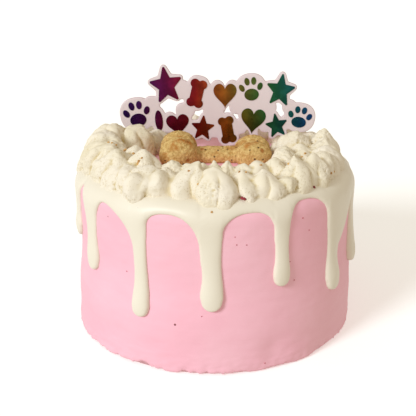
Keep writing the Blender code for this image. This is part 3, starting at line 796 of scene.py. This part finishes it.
def flat_grid(name, columns, rows, rule):
    """A grid primitive whose points go where rule(column, row) says."""
    bpy.ops.mesh.primitive_grid_add(x_subdivisions=columns, y_subdivisions=rows, size=2.0)
    grid = newest(name)

    def place(point):
        column = round((point.x + 1.0) * 0.5 * columns)
        row = round((1.0 - point.y) * 0.5 * rows)
        return rule(column, row)

    move_points(grid, place)
    return grid


def run_sides():
    """Where each run joins the band: azimuth, half width, left and right join."""
    sides = []
    for number, (azimuth, _, neck, _, _) in enumerate(RUNS):
        left, right = ARCHES[number - 1][4] * MM, ARCHES[number][2] * MM
        sides.append((azimuth, degrees_of(NECK_FLARE * neck), left, right))
    return sides


def band_edge():
    """Azimuth and travel of the band's lower edge, once round the cake."""
    edge = []
    sides = run_sides()
    for number, (azimuth, half, left, right) in enumerate(sides):
        for step in range(ACROSS):
            share = eased(step / ACROSS)
            join = left * (1.0 - share) + right * share
            edge.append((azimuth + half * (2.0 * share - 1.0), travel_to(join)))
        arch = ARCHES[number]
        following = sides[(number + 1) % len(sides)]
        side = azimuth + half
        far = following[0] + (360.0 if following[0] < azimuth else 0.0) - following[1]
        top = (arch[0], arch[1] * MM)
        for step in range(ARCH_CELLS):
            share = eased(step / ARCH_CELLS)
            spot = side + (far - side) * share
            if spot < top[0]:
                height = flank(spot, side, top, arch[2] * MM, arch[3])
            else:
                height = flank(spot, far, top, arch[4] * MM, arch[5])
            edge.append((spot, travel_to(height)))
    return edge


def icing_depth(azimuth, travel, rim):
    """Thickness of the icing, from how far it is to the icing's edge."""
    full, width = BAND, BAND_RIM
    for centre, tip, _, drop, bulge in RUNS:
        away = abs((azimuth - centre + 180.0) % 360.0 - 180.0)
        if away > 9.0:
            continue
        start, end = travel_to(74.0 * MM), travel_to((tip + drop) * MM)
        fall = max(0.0, (travel - start) / max(end - start, 1.0 * MM))
        share = min(1.0, fall) ** 1.8 * math.exp(-(away / 6.5) ** 4)
        full += (bulge * MM - BAND) * share
        width += (drop * MM - BAND_RIM) * min(1.0, fall * 1.5) * math.exp(-(away / 6.5) ** 4)
    rise = 1.0 - (1.0 - min(rim / width, 1.0)) ** 2
    a = math.radians(azimuth)
    spot = Vector((9.0 * math.cos(a), 9.0 * math.sin(a), travel * 110.0))
    return full * math.sqrt(rise) * (1.0 + 0.12 * noise.noise(spot))


def even_out(item, places, repeat):
    """Even out the thickness (third value) where the fourth value allows it."""
    near = [[] for _ in item.data.vertices]
    for side in item.data.edges:
        first, second = side.vertices
        near[first].append(second)
        near[second].append(first)
    for _ in range(repeat):
        lifts = [place[2] for place in places]
        for index, place in enumerate(places):
            if place[3] > 0.0:
                mean = sum(lifts[other] for other in near[index]) / len(near[index])
                place[2] += 0.6 * place[3] * (mean - place[2])


def icing_band():
    edge = band_edge()
    count = len(edge)

    def band(column, row):
        azimuth, reach = edge[column % count]
        azimuth += 360.0 if column == count else 0.0
        share = math.sin(0.5 * math.pi * row / BAND_CELLS)
        return on_skin(azimuth, -COLLAR + (reach + COLLAR) * share, 0.0)

    return flat_grid("icing_band", count, BAND_CELLS, band)


def icing_run(side, shape):
    azimuth, _, left, right = side
    _, tip, neck, drop, _ = shape
    end = (tip + drop) * MM
    straight = end + 0.3 * drop * MM

    def run(column, row):
        share = eased(column / ACROSS)
        across = 2.0 * share - 1.0
        join = left * (1.0 - share) + right * share
        fall = min(1.0, row / (STRAIGHT_SHARE * RUN_CELLS))
        height = join + (straight - join) * fall
        width = neck * (NECK_FLARE - 0.16 * math.sin(math.pi * min(1.0, fall * 1.2)))
        width += (drop - neck) * fall ** 3
        place = Vector((width * across, height))
        if row > STRAIGHT_SHARE * RUN_CELLS:
            turn = across * math.pi / 2.0
            rounded = Vector((drop * math.sin(turn), end - drop * MM * math.cos(turn)))
            past = (row / RUN_CELLS - STRAIGHT_SHARE) / (1.0 - STRAIGHT_SHARE)
            place = place.lerp(rounded, math.sin(0.5 * math.pi * past))
        return on_skin(azimuth + degrees_of(place.x), travel_to(place.y), 0.0)

    return flat_grid("icing_run", ACROSS, RUN_CELLS, run)


def rim_tree(item):
    """Closely spaced spots on an open mesh's rim, ready for a search."""
    bm = bmesh.new()
    bm.from_mesh(item.data)
    rim = []
    for side in bm.edges:
        if side.is_boundary:
            first, second = side.verts[0].co, side.verts[1].co
            steps = max(1, int((second - first).length / (0.3 * MM)))
            rim.extend(first.lerp(second, step / steps) for step in range(steps))
    bm.free()
    tree = kdtree.KDTree(len(rim))
    for number, spot in enumerate(rim):
        tree.insert(spot, number)
    tree.balance()
    return tree


def raise_icing(icing):
    """Give the flat icing its thickness, with its underside in the cake."""
    tree = rim_tree(icing)
    # The copy is drawn far enough up to be told from the underside
    apart = 0.2
    edit(icing, pull((0.0, 0.0, apart)))
    places = []
    for vertex in icing.data.vertices:
        raised = vertex.co.z > 0.5 * (apart + CAKE_HEIGHT)
        spot = vertex.co - Vector((0.0, 0.0, apart if raised else 0.0))
        azimuth, travel = skin_place(spot)
        away = tree.find(spot)[2]
        lift = icing_depth(azimuth, travel, away) - LOWERED if raised else -BURIED
        calm = min(1.0, max(0.0, (away - 0.8 * MM) / (1.2 * MM))) if raised else 0.0
        places.append([azimuth, travel, lift, calm])
    even_out(icing, places, 30)
    for vertex, (azimuth, travel, lift, _) in zip(icing.data.vertices, places):
        vertex.co = on_skin(azimuth, travel, lift)
    icing.data.update()


def make_icing(finish):
    parts = [icing_band()]
    parts.extend(icing_run(side, shape) for side, shape in zip(run_sides(), RUNS))
    icing = join("icing", parts)
    edit(icing, weld(0.02 * MM), face_out)
    raise_icing(icing)
    edit(icing, face_out)
    remesh(icing, ICING_VOXEL)
    relax(icing, 0.5, 5)
    thin_out(icing, ICING_KEPT)
    move_points(icing, widened)
    smooth(icing)
    dress(icing, finish, "icing", "running_icing")
    return icing


# Piped cream

def kiss_profile(share):
    """Radius and height of a kiss, from its tip at 0 to its foot at 1."""
    height = 1.0 - share ** 1.4
    radius = (1.0 - (1.0 - share) ** 2.3) ** 2.4
    return radius, height


def shoulder_drop(radius):
    """How far the cake's rounded edge lies below its top at a radius."""
    out = min(max(radius - (CAKE_RADIUS - SHOULDER), 0.0), SHOULDER)
    return SHOULDER - math.sqrt(SHOULDER ** 2 - out ** 2)


def make_kiss(place, half_width, height, lean, draw, soft=0.0):
    count = 4
    wide = half_width > LARGE_KISS
    lobes = [draw.uniform(0.85, 1.15) for _ in range(count)]
    phase = draw.uniform(0.0, 2.0 * math.pi)
    twist = draw.uniform(0.5, 1.1) * draw.choice((-1.0, 1.0))
    crease = draw.uniform(0.2, 0.3)
    oval = draw.uniform(0.9, 1.08)
    bpy.ops.mesh.primitive_uv_sphere_add(segments=60, ring_count=34, radius=1.0)
    kiss = newest("kiss")

    def piped(point):
        polar = math.acos(max(-1.0, min(1.0, point.z))) / math.pi
        spoke = math.atan2(point.y, point.x) / (2.0 * math.pi) % 1.0 * count
        if polar < 0.8:
            share = polar / 0.8
            radius, level = kiss_profile(share)
            radius += (math.sqrt(1.0 - level ** 2) - radius) * soft
            level *= height
        else:
            share = 1.0
            radius, level = 1.2 * (1.0 - polar) / 0.2, -UNDERSIDE * (0.6 + 2.0 * (polar - 0.8))
        inside = spoke % 1.0
        crest = abs(math.cos(math.pi * (inside - (1.0 / 6.0 if wide else 0.0)))) ** 0.6
        part = int(spoke) % count
        blend = min(inside / 0.25, 1.0) if inside < 0.25 else 1.0
        lobe = lobes[part - 1] * (1.0 - blend) + lobes[part] * blend
        low = 1.0 - crease * min(1.0, 3.0 * share)
        high = 1.0 + 0.1 * lobe * math.sin(math.pi * share)
        radius *= low + (high - low) * crest
        level -= 0.1 * (1.0 - lobe) * height * crest
        around = 2.0 * math.pi * spoke / count + phase + twist * (1.0 - share)
        rise = max(0.0, level / height)
        spot = Vector((half_width * radius * math.cos(around) * oval + lean[0] * rise ** 1.7,
                       half_width * radius * math.sin(around) / oval + lean[1] * rise ** 1.7,
                       level)) + place
        spot.z -= shoulder_drop(math.hypot(spot.x, spot.y)) * max(0.0, 1.0 - 1.4 * rise)
        return spot

    move_points(kiss, piped)
    return kiss


def drift(spot, reach):
    """A smoothly changing offset, the same in each run."""
    return Vector([reach * noise.noise(spot + Vector(turn)) for turn in DRIFT_TURNS])


def cream_texture(place):
    """Pores and small crags, with smooth stretches between them."""
    rough = min(1.0, max(0.0, 0.5 + 2.4 * noise.noise(place * 62.0 + Vector((3.0, 7.0, 1.0)))))
    left = min(1.0, max(0.0, (-place.x - 38.0 * MM) / (16.0 * MM)))
    billow = abs(noise.noise(place * 120.0 + Vector((1.0, 2.0, 5.0)))) ** 0.8 - 0.2
    finer = abs(noise.noise(place * 300.0)) ** 0.8 - 0.2
    fold = (0.5 + 0.9 * left) * MM * billow + (0.12 + 0.35 * left) * MM * finer
    crags = 0.42 * MM * rough * noise.fractal(place * 620.0, 0.7, 2.1, 4)
    cells = noise.voronoi(place * 700.0)[0][0]
    pits = 0.5 * MM * rough * max(0.0, 0.34 - cells) / 0.34
    return fold + crags - pits


def make_cream(finish):
    draw = random.Random(CREAM_SEED)
    kisses = []
    for number, (azimuth, distance, half_width, height, right, back) in enumerate(KISSES):
        a = math.radians(azimuth)
        place = Vector((distance * MM * math.sin(a), -distance * MM * math.cos(a), CAKE_HEIGHT))
        kisses.append(make_kiss(place, half_width * MM, height * MM, (right * MM, back * MM), draw,
                                SOFT_KISSES.get(number, 0.0)))
    for step in range(BACK_KISSES):
        azimuth = BACK_START + (BACK_END - BACK_START) * step / (BACK_KISSES - 1)
        a = math.radians(azimuth + draw.uniform(-2.0, 2.0))
        distance = draw.uniform(57.5, 60.5) * MM
        place = Vector((distance * math.sin(a), -distance * math.cos(a), CAKE_HEIGHT))
        lean = (draw.uniform(-2.5, 2.5) * MM, draw.uniform(-2.0, 2.0) * MM)
        half_width, height = draw.uniform(12.0, 13.2) * MM, draw.uniform(10.5, 13.5) * MM
        kisses.append(make_kiss(place, half_width, height, lean, draw))
    for right, back, level, wide, deep, tall in LOBES:
        bpy.ops.mesh.primitive_uv_sphere_add(segments=32, ring_count=20, radius=1.0,
                                             scale=(wide * MM, deep * MM, tall * MM),
                                             location=(right * MM, back * MM, CAKE_HEIGHT + level * MM))
        kisses.append(newest("lobe"))
        settle(kisses[-1])
    cream = join("piped_cream", kisses)
    remesh(cream, CREAM_VOXEL)
    relax(cream, 0.5, 5)

    def slumped(place):
        return place + drift(place * 75.0, 1.5 * MM) + drift(place * 170.0, 0.8 * MM)

    move_points(cream, slumped)

    def seated(place):
        floor = CAKE_HEIGHT - 0.6 * MM - shoulder_drop(math.hypot(place.x, place.y))
        place.z = max(place.z, floor)
        return place

    move_points(cream, seated)
    along_normals(cream, cream_texture)
    mark_crease_shade(cream, 1.0 * MM, 30)
    thin_out(cream, CREAM_KEPT)
    smooth(cream)
    dress(cream, finish, "cream", "cream_wreath")
    return cream


# Biscuit

def make_biscuit(finish):
    pieces = []
    for side, (reach, half, tall) in ((-1.0, KNOB_LEFT), (1.0, KNOB_RIGHT)):
        centre = side * (0.5 * BISCUIT_LENGTH - reach)
        for spread in (-1.0, 1.0):
            level = CAKE_HEIGHT + 0.36 * tall
            bpy.ops.mesh.primitive_uv_sphere_add(segments=48, ring_count=28, radius=1.0,
                                                 location=(centre + 0.5 * MM, spread * KNOB_SPREAD, level),
                                                 scale=(reach, half, 0.64 * tall))
            pieces.append(newest("knob"))
            settle(pieces[-1])
    bpy.ops.mesh.primitive_cylinder_add(vertices=48, radius=1.0, depth=BISCUIT_LENGTH - 2.0 * KNOB_LEFT[0],
                                        location=(0.0, 0.0, CAKE_HEIGHT + 0.4 * SHAFT_HEIGHT),
                                        rotation=(0.0, math.radians(90.0), 0.0),
                                        scale=(0.6 * SHAFT_HEIGHT, 0.5 * SHAFT_WIDTH, 1.0))
    pieces.append(newest("shaft"))
    settle(pieces[-1])
    biscuit = join("bone_shaped_biscuit", pieces)
    remesh(biscuit, BISCUIT_VOXEL)
    relax(biscuit, 0.5, 8)

    def crumbly(place):
        lumps = 0.35 * MM * noise.noise(place * 160.0)
        grain = 0.26 * MM * noise.fractal(place * 700.0, 0.6, 2.0, 4)
        cells = noise.voronoi(place * 420.0)[0][0]
        return lumps + grain - 0.5 * MM * max(0.0, 0.3 - cells) / 0.3

    along_normals(biscuit, crumbly)
    for vertex in biscuit.data.vertices:
        vertex.co.z = max(vertex.co.z, CAKE_HEIGHT - 0.1 * MM)
    biscuit.data.update()
    smooth(biscuit)
    dress(biscuit, finish, "biscuit", "bone_biscuit")
    return biscuit


# Foil shapes of the topper

def star_reach(width, height):
    """How far a star's tips stand out, sideways and upwards."""
    return 0.5 * width / math.cos(math.radians(18.0)), 0.5 * height / 0.905


def star_shape(width, height):
    points = []
    half_x, half_z = star_reach(width, height)
    for step in range(5):
        a = math.radians(90.0 + 72.0 * step)
        for turn in (-0.05, 0.05):
            points.append((half_x * math.cos(a + turn), half_z * math.sin(a + turn)))
        a += math.radians(36.0)
        points.append((0.5 * half_x * math.cos(a), 0.5 * half_z * math.sin(a)))
    return points


def heart_shape(width, height):
    points = []
    for step in range(48):
        a = -2.0 * math.pi * step / 48.0
        x = 16.0 * math.sin(a) ** 3 / 32.0
        z = 13.0 * math.cos(a) - 5.0 * math.cos(2.0 * a) - 2.0 * math.cos(3.0 * a) - math.cos(4.0 * a)
        points.append((x * width, (z / 29.0 + 0.08) * height))
    return points


def round_shape(width, height, centre=(0.0, 0.0), turn=0.0, sides=28):
    points = []
    for step in range(sides):
        a = 2.0 * math.pi * step / sides
        x, z = 0.5 * width * math.cos(a), 0.5 * height * math.sin(a)
        points.append((centre[0] + x * math.cos(turn) - z * math.sin(turn),
                       centre[1] + x * math.sin(turn) + z * math.cos(turn)))
    return points


def bone_shape(width, height):
    knob = 0.27 * width
    reach_x, reach_z = 0.5 * width - knob, 0.5 * height - knob
    points = []
    for corner_x, corner_z, start in ((1, 1, -60.0), (-1, 1, 60.0), (-1, -1, 120.0), (1, -1, 240.0)):
        first, last = (0.0, 195.0) if corner_x * corner_z > 0 else (-15.0, 180.0)
        for step in range(11):
            a = math.radians(start + first + (last - first) * step / 10.0)
            points.append((corner_x * reach_x + knob * math.cos(a),
                           corner_z * reach_z + knob * math.sin(a)))
    return points


def paw_shapes(width, height):
    shapes = [round_shape(0.60 * width, 0.48 * height, (0.0, -0.20 * height))]
    for x, z, turn in ((-0.38, 0.10, 0.45), (-0.14, 0.34, 0.12), (0.14, 0.34, -0.12), (0.38, 0.10, -0.45)):
        shapes.append(round_shape(0.21 * width, 0.31 * height, (x * width, z * height), turn, 20))
    return shapes


SHAPES = {
    "star": lambda width, height: [star_shape(width, height)],
    "heart": lambda width, height: [heart_shape(width, height)],
    "bone": lambda width, height: [bone_shape(width, height)],
    "drop": lambda width, height: [round_shape(width, height)],
    "paw": paw_shapes,
}


def flat_part(name, outline, place, tilt, depth):
    """An upright flat part with this outline, pulled back by its depth."""
    bpy.ops.mesh.primitive_circle_add(vertices=len(outline), radius=1.0, fill_type="NGON")
    piece = newest(name)
    turn = Matrix.Rotation(math.radians(tilt), 2)
    for vertex, corner in zip(piece.data.vertices, outline):
        spot = turn @ Vector(corner)
        vertex.co = (place.x + spot.x, place.y, place.z + spot.y)
    piece.data.update()
    edit(piece, pull((0.0, depth, 0.0)), face_out)
    return piece


def plate_outline(kind, width, height):
    """The outline of a shape's own part of the plate, a halo wider."""
    wide, tall = width + 2.0 * HALO, height + 2.0 * HALO
    if kind == "star":
        points = []
        half_x, half_z = star_reach(width, height)
        for step in range(5):
            a = math.radians(90.0 + 72.0 * step)
            tip = Vector((half_x * math.cos(a), half_z * math.sin(a)))
            for turn in (-62.0, -31.0, 0.0, 31.0, 62.0):
                around = a + math.radians(turn)
                out = Vector((math.cos(around), math.sin(around))) * HALO * 0.95
                points.append(tuple(tip * 0.93 + out))
            a += math.radians(36.0)
            points.append(((0.5 * half_x + HALO) * math.cos(a), (0.5 * half_z + HALO) * math.sin(a)))
        return points
    if kind == "heart":
        return heart_shape(wide, tall)
    return squarish_shape(wide, tall, {"paw": 2.3, "bone": 2.8}.get(kind, 2.0))


def squarish_shape(width, height, power, sides=56):
    points = []
    for step in range(sides):
        a = 2.0 * math.pi * step / sides
        c, s = math.cos(a), math.sin(a)
        points.append((math.copysign(abs(c) ** (2.0 / power), c) * 0.5 * width,
                       math.copysign(abs(s) ** (2.0 / power), s) * 0.5 * height))
    return points


def make_plate(finish):
    parts = []

    def add(outline, x, z, tilt=0.0):
        place = Vector((x, TOPPER_FRONT, CAKE_HEIGHT + z))
        parts.append(flat_part("plate_part", outline, place, tilt, TOPPER_THICKNESS))

    for kind, x, z, width, height, tilt in EMBLEMS:
        add(plate_outline(kind, width * MM, height * MM), x * MM, z * MM, tilt)
    for x, z, half_x, half_z in BRIDGES + FILLETS:
        add(squarish_shape(2.0 * half_x * MM, 2.0 * half_z * MM, 2.6, 40), x * MM, z * MM)
    half, foot, top = 0.5 * LEG_WIDTH, -LEG_DEPTH, 12.0 * MM
    leg = [(-half, foot + 2.0 * MM), (-0.3 * half, foot), (0.3 * half, foot), (half, foot + 2.0 * MM),
           (half, top), (-half, top)]
    for x in LEG_X:
        add(leg, x, 0.0)
    plate = join("topper_plate", parts)
    remesh(plate, PLATE_VOXEL)
    back = TOPPER_FRONT + TOPPER_THICKNESS

    def flattened(place):
        for level in (TOPPER_FRONT, back):
            if abs(place.y - level) < 0.4 * PLATE_VOXEL:
                place.y = level
        return place

    relax(plate, 0.5, 6)
    move_points(plate, flattened)
    thin_out(plate, PLATE_KEPT)
    smooth(plate, 50.0)
    # The rim value marks the plate's edges for painted shade and a pink colour fringe
    layer = plate.data.attributes.new("rim", "FLOAT", "POINT")
    for index, vertex in enumerate(plate.data.vertices):
        layer.data[index].value = 1.0 - abs(vertex.normal.y)
    dress(plate, finish, "topper", "topper")
    return plate


def make_foil(finish):
    pieces = []
    for kind, x, z, width, height, tilt in EMBLEMS:
        place = Vector((x * MM, TOPPER_FRONT + 0.05 * MM, CAKE_HEIGHT + z * MM))
        for outline in SHAPES[kind](width * MM, height * MM):
            pieces.append(flat_part("foil", outline, place, tilt, -FOIL))
    foil = join("foil_shapes", pieces)
    smooth(foil, 30.0)
    dress(foil, finish, "topper")
    return foil


# Crumbs, specks and spots of painted shade

def make_crumbs_and_shade_spots(name, finish, slot, spots, size, seed):
    """One joined mesh of small broken bits at the given places: crumbs and specks, and also dark spots of
    painted shade.
    """
    draw = random.Random(seed)
    pieces = []
    for spot in spots:
        bpy.ops.mesh.primitive_ico_sphere_add(subdivisions=2, radius=1.0)
        piece = newest("crumb")
        scale = Vector([draw.uniform(*size) * MM for _ in range(3)])
        offset = Vector((draw.uniform(0.0, 90.0), 0.0, 0.0))
        turn = Matrix.Rotation(draw.uniform(0.0, math.pi), 3, Vector((draw.random(), draw.random(), 1.0)))

        def broken(point):
            point *= 1.0 + 0.35 * noise.noise(point * 1.7 + offset)
            return turn @ Vector((point.x * scale.x, point.y * scale.y, point.z * scale.z)) + spot

        move_points(piece, broken)
        pieces.append(piece)
    crumbs = join(name, pieces)
    smooth(crumbs, 35.0)
    dress(crumbs, finish, slot)
    return crumbs


def seen_at(camera, pieces, across, down):
    """The nearest point of the pieces at a place in the camera's frame."""
    start = camera.matrix_world.translation
    reach = Vector(((across - 0.5 + SHIFT[0]) * SENSOR, (0.5 - down + SHIFT[1]) * SENSOR, -LENS))
    heading = (camera.matrix_world.to_3x3() @ reach).normalized()
    best = None
    for piece in pieces:
        hit, spot, _, _ = piece.ray_cast(start, heading)
        if hit and (best is None or (spot - start).length < (best - start).length):
            best = spot
    return best


# Stage

def make_stage():
    bpy.ops.mesh.primitive_plane_add(size=6.0, location=(0.0, 0.0, -0.0002))
    floor = newest("floor")
    paint = Paint("pale_floor", Base_Color=(0.92, 0.92, 0.92), Roughness=0.9,
                  Emission_Color=(1.0, 1.0, 1.0), Emission_Strength=0.3)
    floor.data.materials.append(paint.material)
    floor.visible_diffuse = False
    world = bpy.data.worlds.new("studio")
    world.use_nodes = True
    background = world.node_tree.nodes["Background"]
    background.inputs["Color"].default_value = SKY
    background.inputs["Strength"].default_value = SKY_STRENGTH
    bpy.context.scene.world = world
    lamp = bpy.data.lights.new("key", "SUN")
    lamp.energy = LAMP_POWER
    lamp.color = LAMP_COLOUR
    lamp.angle = math.radians(LAMP_SPREAD)
    item = bpy.data.objects.new("key", lamp)
    bpy.context.scene.collection.objects.link(item)
    a, rise = math.radians(LAMP_AZIMUTH), math.radians(LAMP_HEIGHT)
    place = Vector((math.sin(a) * math.cos(rise), -math.cos(a) * math.cos(rise), math.sin(rise)))
    item.location = place
    item.rotation_euler = place.to_track_quat("Z", "Y").to_euler()
    bpy.context.scene.view_settings.view_transform = "Standard"


def make_camera():
    data = bpy.data.cameras.new("camera")
    data.lens = LENS
    data.sensor_width = SENSOR
    data.shift_x, data.shift_y = SHIFT
    data.clip_start = 0.01
    camera = bpy.data.objects.new("camera", data)
    bpy.context.scene.collection.objects.link(camera)
    facing = (FACED - CAMERA).to_track_quat("-Z", "Y").to_matrix()
    camera.matrix_world = Matrix.Translation(CAMERA) @ (
        facing @ Matrix.Rotation(math.radians(ROLL), 3, "Z")).to_4x4()
    bpy.context.scene.camera = camera
    return camera


def main():
    cake = make_cake(frosting_finish())
    icing = make_icing(icing_finish())
    cream = make_cream(cream_finish())
    biscuit = make_biscuit(biscuit_finish())
    foil = make_foil(foil_finish())
    plate = make_plate(plate_finish())
    make_stage()
    camera = make_camera()
    ground = (cake, icing, cream, biscuit)

    def scattered(name, slot, dark, light, shares, size, seed):
        spots = [seen_at(camera, ground, *share) for share in shares]
        return make_crumbs_and_shade_spots(name, crumb_and_shade_finish(name + "_finish", dark, light), slot, spots, size, seed)

    crumbs = scattered("biscuit_crumbs", "biscuit", (0.42, 0.20, 0.06), (0.72, 0.44, 0.16),
                       CRUMBS, (0.4, 0.9), 3)
    specks = scattered("red_specks", "frosting", (0.36, 0.03, 0.04), (0.60, 0.13, 0.17),
                       RED_SPECKS, (0.2, 0.42), 4)
    # Dark red spots of painted shade in the gaps at the foot of the cream, where the frosting lies in
    # shadow
    gap_shade = scattered("frosting_smears", "frosting", (0.20, 0.012, 0.02), (0.36, 0.05, 0.06),
                       SHADED_GAP_SPOTS, (0.45, 1.1), 6)
    for piece in (cake, icing, cream, biscuit, plate, foil, crumbs, specks, gap_shade):
        piece.data.calc_loop_triangles()
        print(piece.name, len(piece.data.loop_triangles), "triangles")


main()
